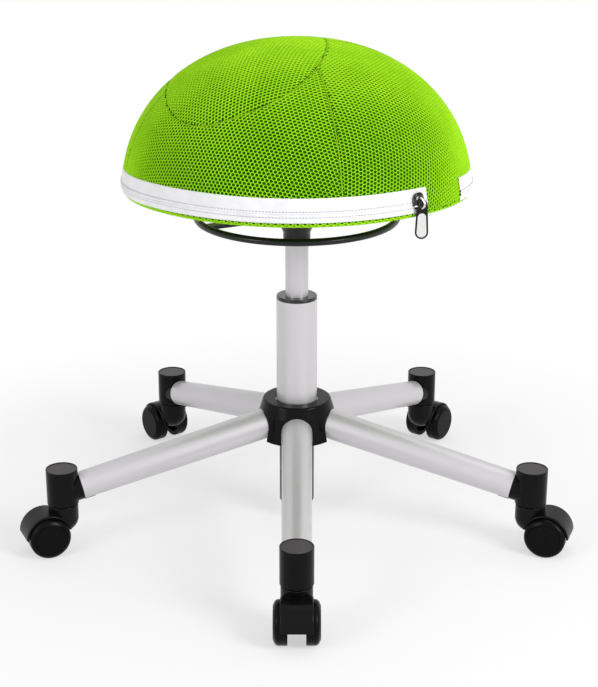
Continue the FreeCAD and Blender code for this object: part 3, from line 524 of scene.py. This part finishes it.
# The caps' tops are painted lighter grey as a painted reflection of the top light.
cap_plastic_painted_highlight = make_plastic("cap_plastic_painted_highlight", 0.003, 0.20, 0.00001, 0.10, (0.060, 0.054, 0.058))
hood_plastic = make_plastic("hood_plastic", 0.003, 0.26, 0.00003, 0.12)
wheel_plastic = make_plastic("wheel_plastic", 0.002, 0.28, 0.00002, 0.08)
gloss_plastic = make_plastic("gloss_black_plastic", 0.004, 0.08, 0.000004, 0.6)
black_paint = make_black_paint()
steel = make_metal("turned_steel", (0.55, 0.55, 0.55), 0.28, (1, 1, 12))
gunmetal = make_metal("dark_nickel", (0.025, 0.025, 0.024), 0.16)
chrome = make_metal("bright_chrome", (0.78, 0.79, 0.77), 0.08)
satin_metal = make_metal("satin_nickel", (0.80, 0.81, 0.79), 0.32)
rubber = make_rubber()
plywood = make_wood()

NODE_LOOKS = [
    (("arm_tube", "column_sleeve", "gas_cylinder"), silver),
    (("hub_cover",), black_plastic),
    (("arm_cap",), cap_plastic_painted_highlight),
    (("caster_hood",), hood_plastic),
    (("caster_wheel",), wheel_plastic),
    (("caster_stem", "caster_axle", "hub_core", "thrust_bearing", "piston_rod", "rod_clip", "release_pin",
      "lever_pivot", "plate_screws"), steel),
    (("column_tube", "seat_socket", "release_ring", "seat_plate"), black_paint),
    (("guide_bush",), gloss_plastic),
    (("bump_stop", "half_ball", "air_plug"), rubber),
    (("seat_board",), plywood),
]
for names, look in NODE_LOOKS:
    for name, node in nodes.items():
        if name.startswith(names):
            node.data.materials.clear()
            node.data.materials.append(look)


# Mesh cover: four gores round an oval crown panel, each with its own lean

def on_dome(flat, middle_latitude, middle_azimuth, lean):
    """Lay a flat pattern on the dome round a point, each part keeping its area."""
    c, s = math.cos(middle_latitude), math.sin(middle_latitude)
    x, y = math.cos(middle_azimuth), math.sin(middle_azimuth)
    centre = np.array([c * x, c * y, s])
    east = np.array([-y, x, 0.0])
    north = np.array([-s * x, -s * y, c])
    turned = np.array([[math.cos(lean), math.sin(lean)], [-math.sin(lean), math.cos(lean)]])
    flat = flat @ turned / MEAN_RADIUS
    far = (flat ** 2).sum(axis=1)
    stretch = np.sqrt(np.maximum(1 - far / 4, 0.05))
    way = centre * (1 - far / 2)[:, None]
    way = way + (east * flat[:, :1] + north * flat[:, 1:]) * stretch[:, None]
    way = way / np.linalg.norm(way, axis=1, keepdims=True)
    return np.arcsin(way[:, 2]), np.arctan2(way[:, 1], way[:, 0])


def cover_panel(name, middle, lean, reach, holds, tidy):
    """One panel of the cover: the cells whose middles it holds, with its edge cells cut at the seams."""
    corners, cells, centres = hex_lattice(reach, reach, CELL_PITCH)
    latitude, azimuth = on_dome(centres, *middle, lean)
    kept = holds(latitude, azimuth) & (np.hypot(centres[:, 0], centres[:, 1]) < reach)
    cells = cells[kept]
    used, index = np.unique(cells, return_inverse=True)
    latitude, azimuth = on_dome(corners[used], *middle, lean)
    latitude, azimuth = tidy(latitude, azimuth)
    points, ways = dome(latitude, azimuth, seam_inset(latitude, azimuth))
    return mesh_cells(name, points, ways, index.reshape(-1, 6), lime)


def in_oval(latitude, azimuth):
    point, _ = dome(latitude, azimuth)
    return oval_share(point[..., 0], point[..., 1]) < 1


def make_gore(number, start, end, lean):
    """A gore between two seams, from the tape up to the oval panel."""
    def holds(latitude, azimuth):
        around = turn_to(azimuth, start)
        return (around < end) & (latitude > zip_floor(azimuth)) & ~in_oval(latitude, azimuth)

    def tidy(latitude, azimuth):
        middle = (start + end) / 2
        around = np.clip(turn_to(azimuth, middle - math.pi), start, end)
        latitude = np.maximum(latitude, zip_floor(around))
        return to_oval(latitude, around, inside=False)

    middle = (GORE_MIDDLE, (start + end) / 2)
    return cover_panel("cover_gore_%d" % number, middle, lean, 0.30, holds, tidy)


def make_crown():
    """The oval panel over the crown."""
    def tidy(latitude, azimuth):
        return to_oval(latitude, azimuth, inside=True)

    x, y = OVAL_CENTRE
    middle = (float(latitude_at_radius(math.hypot(x, y))), math.atan2(y, x))
    return cover_panel("cover_crown", middle, OVAL_LEAN, 0.22, in_oval, tidy)


gores = []
for k, seam in enumerate(GORE_SEAMS):
    gores.append(make_gore(k + 1, seam, seam + math.pi / 2, GORE_LEANS[k]))
crown = make_crown()
for panel in [*gores, crown]:
    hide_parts("cover_top")


def make_seam_threads():
    """Lime thread drawn into the seams, in the darker lime as painted shade along them, apart from the
    crown's left side where the seam stays open.
    """
    turns = np.radians(np.arange(THREAD_START, THREAD_END, 1.0))
    cosine, sine = np.cos(turns), np.sin(turns)
    reach = (np.abs(cosine / OVAL_HALF_WIDTH) ** OVAL_POWER
             + np.abs(sine / OVAL_HALF_LENGTH) ** OVAL_POWER) ** (-1 / OVAL_POWER)
    c, s = math.cos(OVAL_TURN), math.sin(OVAL_TURN)
    x = OVAL_CENTRE[0] + reach * (c * cosine - s * sine)
    y = OVAL_CENTRE[1] + reach * (s * cosine + c * sine)
    paths = [(latitude_at_radius(np.hypot(x, y)), np.arctan2(y, x))]
    for seam in GORE_SEAMS:
        latitude = np.linspace(float(zip_floor(np.array(seam))), math.pi / 2 - 0.01, 160)
        azimuth = np.full(160, seam)
        points, _ = dome(latitude, azimuth)
        outside = oval_share(points[:, 0], points[:, 1]) > 1
        paths.append((latitude[outside], azimuth[outside]))
    for number, (latitude, azimuth) in enumerate(paths, 1):
        path, _ = dome(latitude, azimuth, seam_inset(latitude, azimuth) + THREAD_RADIUS * 0.5)
        thread = tube("seam_thread_%d" % number, path, THREAD_RADIUS, painted_shade_lime)
        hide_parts("cover_top")


make_seam_threads()


def make_pad():
    """The closed inner layer of the cover, seen as dark green through the mesh."""
    columns = 240
    azimuth = np.linspace(-math.pi, math.pi, columns, endpoint=False)
    rings = []
    for latitude in np.linspace(latitude_at_height(TAPE_BOTTOM + 0.001), math.pi / 2 - 0.004, 90):
        lat = np.full(columns, latitude)
        rings.append(dome(lat, azimuth, BACKING_DEPTH + seam_inset(lat, azimuth))[0])
    low = [rim(azimuth, np.full(columns, up), -BACKING_DEPTH)
           for up in np.linspace(-TURN_UNDER - 0.001, RIM_ARC, 9)]
    rings = low + rings
    points = np.concatenate(rings)
    faces = grid_faces(len(rings), columns, closed=True)
    faces.append(tuple(range(len(points) - columns, len(points))))
    faces.append(tuple(range(columns - 1, -1, -1)))
    return add_object("seat_pad", points, faces, backing)


pad = make_pad()
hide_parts("cover_top")


# The lower strip and the underside of the cover

STRIP_LEAN = math.radians(30)
HEM_RADIUS = RIM_RADIUS - RIM_CORNER - TURN_UNDER
HEM_CORD = 0.0012
HEM_POINTS = 240
UNDERSIDE_CLEAR = 0.0002


def strip_top(azimuth):
    """Where the lower strip goes under the tape, or meets the upper mesh between the tape's ends."""
    overlap = 0.002
    height = np.where(under_tape(azimuth), TAPE_BOTTOM - sag(azimuth) + overlap, TAPE_BOTTOM - overlap)
    return skin_height(height, azimuth)


def make_strip():
    """The mesh between the tape and the hem under the seat."""
    half_length = 1.1 * math.pi * RIM_RADIUS
    corners, cells, centres = hex_lattice(half_length, half_length, CELL_PITCH)
    near = np.abs(centres @ (math.sin(STRIP_LEAN), math.cos(STRIP_LEAN))) < 2 * TURN_UNDER
    turned = np.array([[math.cos(STRIP_LEAN), math.sin(STRIP_LEAN)],
                       [-math.sin(STRIP_LEAN), math.cos(STRIP_LEAN)]])
    cells, centres = cells[near], centres[near] @ turned
    around, up = centres[:, 0] / RIM_RADIUS, centres[:, 1]
    kept = (np.abs(around) < math.pi) & (up > -TURN_UNDER) & (up < strip_top(around))
    used, index = np.unique(cells[kept], return_inverse=True)
    corners = corners[used] @ turned
    around = np.clip(corners[:, 0] / RIM_RADIUS, -math.pi, math.pi)
    up = np.clip(corners[:, 1], -TURN_UNDER, strip_top(around))
    points = rim(around, up)
    ways = (rim(around, up, 0.001) - points) / 0.001
    return mesh_cells("cover_strip", points, ways, index.reshape(-1, 6), lime)


def make_underside():
    """The mesh drawn flat under the board."""
    corners, cells, centres = hex_lattice(HEM_RADIUS, HEM_RADIUS, CELL_PITCH)
    kept = np.hypot(centres[:, 0], centres[:, 1]) < HEM_RADIUS
    used, index = np.unique(cells[kept], return_inverse=True)
    flat = corners[used]
    reach = np.hypot(flat[:, 0], flat[:, 1])
    flat = flat * np.minimum(1, HEM_RADIUS / np.maximum(reach, 1e-6))[:, None]
    points = np.column_stack([flat, np.full(len(flat), COVER_BASE + UNDERSIDE_CLEAR)])
    ways = np.tile([0.0, 0.0, -1.0], (len(flat), 1))
    return mesh_cells("cover_underside", points, ways, index.reshape(-1, 6), lime)


def make_hem():
    """The drawn hem where the strip and the underside meet."""
    around = np.linspace(0, 2 * math.pi, HEM_POINTS, endpoint=False)
    path = np.column_stack([HEM_RADIUS * np.cos(around), HEM_RADIUS * np.sin(around),
                            np.full(HEM_POINTS, COVER_BASE)])
    return tube("cover_hem", path, HEM_CORD, lime, closed=True)


for piece in (make_strip(), make_underside(), make_hem()):
    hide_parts("cover_bottom")


# The zip: its tape, slider and puller

def tape_lift(share):
    """How far the tape stands out, from its lower to its upper edge."""
    rise = (np.clip((share - RIDGE_LOW) / RIDGE_SHOULDER, 0, 1)
            * np.clip((RIDGE_HIGH - share) / RIDGE_SHOULDER, 0, 1))
    ridge = RIDGE_LIFT * np.sqrt(rise)
    groove = GROOVE_DEPTH * np.exp(-(((share - GROOVE_PLACE) / GROOVE_WIDTH) ** 2))
    edge = EDGE_DROP * (np.exp(-((share / EDGE_WIDTH) ** 2)) + np.exp(-(((1 - share) / EDGE_WIDTH) ** 2)))
    return TAPE_LIFT + ridge - groove - edge


def make_tape_band():
    """The tape round the seat, ridged where the coil is, with folded ends."""
    near_coil = np.linspace(0.17, 0.52, 29)
    shares = np.unique(np.concatenate([np.linspace(0, 1, 25), near_coil]))
    azimuth = np.linspace(TAPE_START, TAPE_START + TAPE_TURN, TAPE_COLUMNS)
    bottom = skin_height(TAPE_BOTTOM - sag(azimuth), azimuth)
    top = skin_height(TAPE_TOP - sag(azimuth), azimuth)
    rows = [rim(azimuth, bottom, -TAPE_TUCK)]
    marks = [0.0]
    for share in shares:
        rows.append(rim(azimuth, bottom + (top - bottom) * share, float(tape_lift(share))))
        marks.append(float(share))
    rows.append(rim(azimuth, top, -TAPE_TUCK))
    marks.append(1.0)
    for row in rows:
        for end, inner in ((0, 1), (-1, -2)):
            level = row[end] * (1, 1, 0)
            row[end] -= level / np.linalg.norm(level) * END_TUCK
            row[end] += (row[inner] - row[end]) * END_PULL
    faces = grid_faces(len(rows), TAPE_COLUMNS)
    band = add_object("zip_tape", np.concatenate(rows), faces, tape_fabric)
    layer = band.data.uv_layers.new(name="tape")
    along = np.tile((azimuth - TAPE_START) * RIM_RADIUS, len(rows))
    up = np.repeat(marks, TAPE_COLUMNS)
    corners = np.empty(len(band.data.loops), dtype=int)
    band.data.loops.foreach_get("vertex_index", corners)
    layer.data.foreach_set("uv", np.column_stack([along[corners], up[corners]]).ravel())
    return band


def facing_out(points):
    """Points out from the axis, sideways and up, turned to the slider's place."""
    points = np.asarray(points, float).reshape(-1, 3)
    c, s = math.cos(SLIDER_AZIMUTH), math.sin(SLIDER_AZIMUTH)
    return np.column_stack([c * points[:, 0] - s * points[:, 1], s * points[:, 0] + c * points[:, 1],
                            points[:, 2]])


# The shield's right half from its heel up, in millimetres, and how it draws in as it rises in metres
SHIELD_HALF = [(3.0, 0.2), (5.2, 1.4), (6.2, 4.0), (7.2, 7.5), (8.2, 11.5), (7.6, 15.2), (5.6, 18.2),
               (2.6, 19.8)]
SHIELD_MIDDLE = 0.0105
SHIELD_RINGS = ((-0.0012, 0.9), (-0.0011, 1.0), (-0.0003, 0.95), (0.0004, 0.84), (0.0008, 0.6),
                (0.001, 0.3))

BAR_HALF_LENGTH = 0.0084
BAR_STANDOFF = 0.0024
BAR_DROP = 0.0012
BAR_RADIUS = 0.0011
BAIL_REACH = 2 * PULLER_STANDOFF - 0.0012
BAIL_RISE = 0.0012
BAIL_HALF_HEIGHT = 0.0062
BAIL_END = math.radians(86)
BAIL_RADIUS = 0.0013
HEAD_SINK = 0.0005
HEAD_PROUD = 0.0033
HEAD_HALF_WIDTH = 0.0088
HEAD_RISE = 0.0006
HEAD_ABOVE = 0.0105
HEAD_BELOW = 0.0035
HEAD_RINGS = 6
HEAD_SIDES = 24


def make_slider_body():
    """The slider's shield: a round head, a waist and a narrower heel, with soft edges."""
    corners = SHIELD_HALF + [(-across, up) for across, up in reversed(SHIELD_HALF)]
    shape = np.array(corners) / 1000
    middle = np.array([0, SHIELD_MIDDLE])
    rings = []
    for out, scale in SHIELD_RINGS:
        flat = middle + (shape - middle) * scale
        rings.append(np.column_stack([np.full(len(flat), SLIDER_REACH + out), flat[:, 0],
                                      TAPE_BOTTOM + SLIDER_RISE + flat[:, 1]]))
    count = len(shape)
    faces = grid_faces(len(rings), count, closed=True)
    faces.append(tuple(range((len(rings) - 1) * count, len(rings) * count)))
    faces.append(tuple(range(count - 1, -1, -1)))
    body = add_object("slider_body", facing_out(np.concatenate(rings)), faces, gunmetal, "slider")
    smooth = body.modifiers.new("smooth", "SUBSURF")
    smooth.levels = 2
    smooth.render_levels = 2
    return body


def make_slider_bar():
    """The bright bar across the slider's head."""
    across = np.linspace(-BAR_HALF_LENGTH, BAR_HALF_LENGTH, 15)
    path = np.column_stack([np.full(15, SLIDER_REACH + BAR_STANDOFF), across,
                            np.full(15, POST_HEIGHT - BAR_DROP)])
    return tube("slider_bar", facing_out(path), BAR_RADIUS, chrome, "slider", sides=12)


def make_slider_bail():
    """The bright loop on the slider that the puller hangs on."""
    bow = np.linspace(-BAIL_END, BAIL_END, 25)
    path = np.column_stack([SLIDER_REACH + BAIL_REACH * np.cos(bow), np.zeros(25),
                            POST_HEIGHT + BAIL_RISE + BAIL_HALF_HEIGHT * np.sin(bow)])
    return tube("slider_bail", facing_out(path), BAIL_RADIUS, chrome, "slider", sides=12)


def make_slider_head():
    """The dark knob over the slider's head, taller above its middle than below."""
    points = []
    for climb in np.linspace(0, math.pi / 2, HEAD_RINGS + 1)[:-1]:
        for turn in np.linspace(0, 2 * math.pi, HEAD_SIDES, endpoint=False):
            out = SLIDER_REACH - HEAD_SINK + HEAD_PROUD * math.sin(climb)
            tall = HEAD_ABOVE if math.sin(turn) > 0 else HEAD_BELOW
            points.append((out, HEAD_HALF_WIDTH * math.cos(climb) * math.cos(turn),
                           POST_HEIGHT + HEAD_RISE + tall * math.cos(climb) * math.sin(turn)))
    faces = grid_faces(HEAD_RINGS, HEAD_SIDES, closed=True)
    faces.append(tuple(range(len(points) - HEAD_SIDES, len(points))))
    return add_object("slider_head", facing_out(points), faces, gloss_plastic, "slider")


PULLER_DROP = 0.0310
PULLER_TOP = 0.0060
PULLER_END = 0.0074
FACE_TOP_DROP = 0.0140
FACE_MIDDLE = 0.0215
FRAME_WIDTH = 0.0019
FACE_TOP_RADIUS = PULLER_TOP - 0.0015
FACE_END_RADIUS = PULLER_END - FRAME_WIDTH
TAB_HALF_THICKNESS = 0.00085
TAB_SIDES = 240
FACE_SUNK = 0.0005
SOFT_EDGE = 0.0004
CLOSING_SHARE = 0.02
EYE_RADIUS = 0.0031
EYE_CORD = 0.0009
EYE_PROUD = 0.0007


def tab_outline(turns, top_drop, top, end):
    """How far a tapered tab's edge is in each direction from the middle of the puller's face."""
    length = PULLER_DROP - top_drop
    lean = math.asin((end - top) / length)
    arc = np.linspace(-lean, math.pi + lean, 60)
    upper = np.column_stack([top * np.cos(arc), top * np.sin(arc) - top_drop])
    arc = np.linspace(math.pi + lean, 2 * math.pi - lean, 60)
    lower = np.column_stack([end * np.cos(arc), end * np.sin(arc) - PULLER_DROP])
    edge = np.concatenate([upper, lower])
    steps = np.linspace(0, 1, 20, endpoint=False)[None, :, None]
    edge = (edge[:, None, :] * (1 - steps) + np.roll(edge, -1, axis=0)[:, None, :] * steps).reshape(-1, 2)
    edge = edge + (0, FACE_MIDDLE)
    angle, reach = np.arctan2(edge[:, 1], edge[:, 0]), np.hypot(edge[:, 0], edge[:, 1])
    order = np.argsort(angle)
    return np.interp(turns, angle[order], reach[order], period=2 * math.pi)


def on_tab(across, up, out):
    """Points in the turned tab's own plane, this far out of its middle and up from the post."""
    c, s = math.cos(PULLER_TWIST), math.sin(PULLER_TWIST)
    return facing_out(np.column_stack([SLIDER_REACH + PULLER_STANDOFF + c * out - s * across,
                                       s * out + c * across, POST_HEIGHT + up]))


def make_puller():
    """The tab: a bright sunk face in a dark raised frame."""
    half = TAB_HALF_THICKNESS
    sunk = half - FACE_SUNK
    turns = np.linspace(-math.pi, math.pi, TAB_SIDES, endpoint=False)
    outer = tab_outline(turns, 0.0, PULLER_TOP, PULLER_END)
    face = tab_outline(turns, FACE_TOP_DROP, FACE_TOP_RADIUS, FACE_END_RADIUS)
    layers = [(face * CLOSING_SHARE, sunk), (face * 0.5, sunk), (face, sunk),
              (face + 0.0002, half - 0.0001), (face + 0.0005, half), (outer - SOFT_EDGE, half),
              (outer, half - SOFT_EDGE), (outer, SOFT_EDGE - half), (outer - SOFT_EDGE, -half),
              (outer * CLOSING_SHARE, -half)]
    rings = [on_tab(reach * np.cos(turns), reach * np.sin(turns) - FACE_MIDDLE, out)
             for reach, out in layers]
    faces = grid_faces(len(rings), TAB_SIDES, closed=True)
    faces.append(tuple(range(TAB_SIDES)))
    faces.append(tuple(range(len(rings) * TAB_SIDES - 1, (len(rings) - 1) * TAB_SIDES - 1, -1)))
    puller = add_object("zip_puller", np.concatenate(rings), faces, gunmetal, "puller", smooth=False)
    puller.data.materials.append(satin_metal)
    for bright in [*puller.data.polygons[:2 * TAB_SIDES], puller.data.polygons[len(faces) - 2]]:
        bright.material_index = 1
    return puller


def make_puller_eye():
    """The eye at the tab's top that the loop goes through."""
    turns = np.linspace(0, 2 * math.pi, 40, endpoint=False)
    path = on_tab(EYE_RADIUS * np.cos(turns), EYE_RADIUS * np.sin(turns), EYE_PROUD)
    return tube("puller_eye", path, EYE_CORD, gloss_plastic, "puller", closed=True)


band = make_tape_band()
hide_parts("zipper_tape")
for piece in (make_slider_body(), make_slider_bar(), make_slider_bail(), make_slider_head()):
    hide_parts("zipper_slider")
for piece in (make_puller(), make_puller_eye()):
    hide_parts("zipper_puller")


# Floor, camera and light

FLOOR_RADIUS = 8
FADE_START = 0.36
FADE_END = 0.75
LEAST_WHITE = 0.55


def background_share(tree):
    """1 for the rays that see the background itself: the camera's and the reflected ones."""
    path = tree.nodes.new("ShaderNodeLightPath")
    share = path.outputs["Is Camera Ray"]
    for name in ("Is Glossy Ray", "Is Transmission Ray"):
        larger = tree.nodes.new("ShaderNodeMath")
        larger.operation = "MAXIMUM"
        tree.links.new(share, larger.inputs[0])
        tree.links.new(path.outputs[name], larger.inputs[1])
        share = larger.outputs[0]
    return share


def make_floor():
    """A pale floor that keeps the shadows near the stool and runs out into white."""
    bpy.ops.mesh.primitive_circle_add(vertices=128, radius=FLOOR_RADIUS, fill_type="NGON")
    floor = bpy.context.object
    floor.name = "floor"
    g = Graph("floor", (0.96, 0.955, 0.96), 0.9)
    floor.data.materials.append(g.material)
    g.colours(g.noise(3, 2), (0.955, 0.95, 0.96), (0.965, 0.96, 0.97))
    length = g.add("ShaderNodeVectorMath", operation="LENGTH")
    g.join(g.place, length.inputs[0])
    fade = g.add("ShaderNodeMapRange", interpolation_type="SMOOTHSTEP")
    fade.inputs["From Min"].default_value = FADE_START
    fade.inputs["From Max"].default_value = FADE_END
    fade.inputs["To Min"].default_value = LEAST_WHITE
    g.join(length.outputs["Value"], fade.inputs["Value"])
    white = g.add("ShaderNodeEmission")
    mix = g.add("ShaderNodeMixShader")
    g.join(g.calc("MULTIPLY", fade.outputs["Result"], background_share(g.tree)), mix.inputs[0])
    g.join(g.shader.outputs[0], mix.inputs[1])
    g.join(white.outputs[0], mix.inputs[2])
    g.join(mix.outputs[0], g.tree.nodes["Material Output"].inputs["Surface"])


make_floor()

# The photograph's viewpoint
CAMERA_PLACE = (0.0, -1.8426, 0.885)
CAMERA_PITCH = math.radians(19.52)
FRAME_HEIGHT = 687
FOCAL_PIXELS = 1589.8
CENTRE_OFFSET_PIXELS = 2.18
SENSOR_WIDTH = 36

camera = bpy.data.objects.new("camera", bpy.data.cameras.new("camera"))
bpy.context.scene.collection.objects.link(camera)
bpy.context.scene.camera = camera
camera.location = CAMERA_PLACE
camera.rotation_euler = Euler((math.pi / 2 - CAMERA_PITCH, 0, 0))
camera.data.sensor_width = SENSOR_WIDTH
camera.data.lens = FOCAL_PIXELS / FRAME_HEIGHT * SENSOR_WIDTH
camera.data.shift_x = CENTRE_OFFSET_PIXELS / FRAME_HEIGHT


def area_light(name, place, target, size, watts):
    lamp = bpy.data.objects.new(name, bpy.data.lights.new(name, "AREA"))
    bpy.context.scene.collection.objects.link(lamp)
    lamp.data.shape = "RECTANGLE"
    lamp.data.size, lamp.data.size_y = size
    lamp.data.energy = watts
    lamp.location = place
    lamp.visible_camera = False
    lamp.rotation_euler = (Vector(target) - Vector(place)).to_track_quat("-Z", "Y").to_euler()


SEAT_MIDDLE = (0, 0, 0.45)
WORLD_STRENGTH = 0.5

area_light("key", (1.9, -1.6, 1.5), SEAT_MIDDLE, (1.0, 1.2), 46)
area_light("fill", (-1.9, -1.7, 1.2), SEAT_MIDDLE, (1.0, 1.2), 21)
area_light("top", (0.5, 0.6, 2.4), SEAT_MIDDLE, (1.6, 1.6), 6)

world = bpy.data.worlds.new("studio")
bpy.context.scene.world = world
world.use_nodes = True
sky = world.node_tree
background = sky.nodes["Background"]
background.inputs["Color"].default_value = (1, 1, 1, 1)
level = sky.nodes.new("ShaderNodeMath")
level.operation = "MULTIPLY_ADD"
sky.links.new(background_share(sky), level.inputs[0])
level.inputs[1].default_value = 1 - WORLD_STRENGTH
level.inputs[2].default_value = WORLD_STRENGTH
sky.links.new(level.outputs[0], background.inputs["Strength"])

bpy.context.scene.view_settings.view_transform = "Standard"
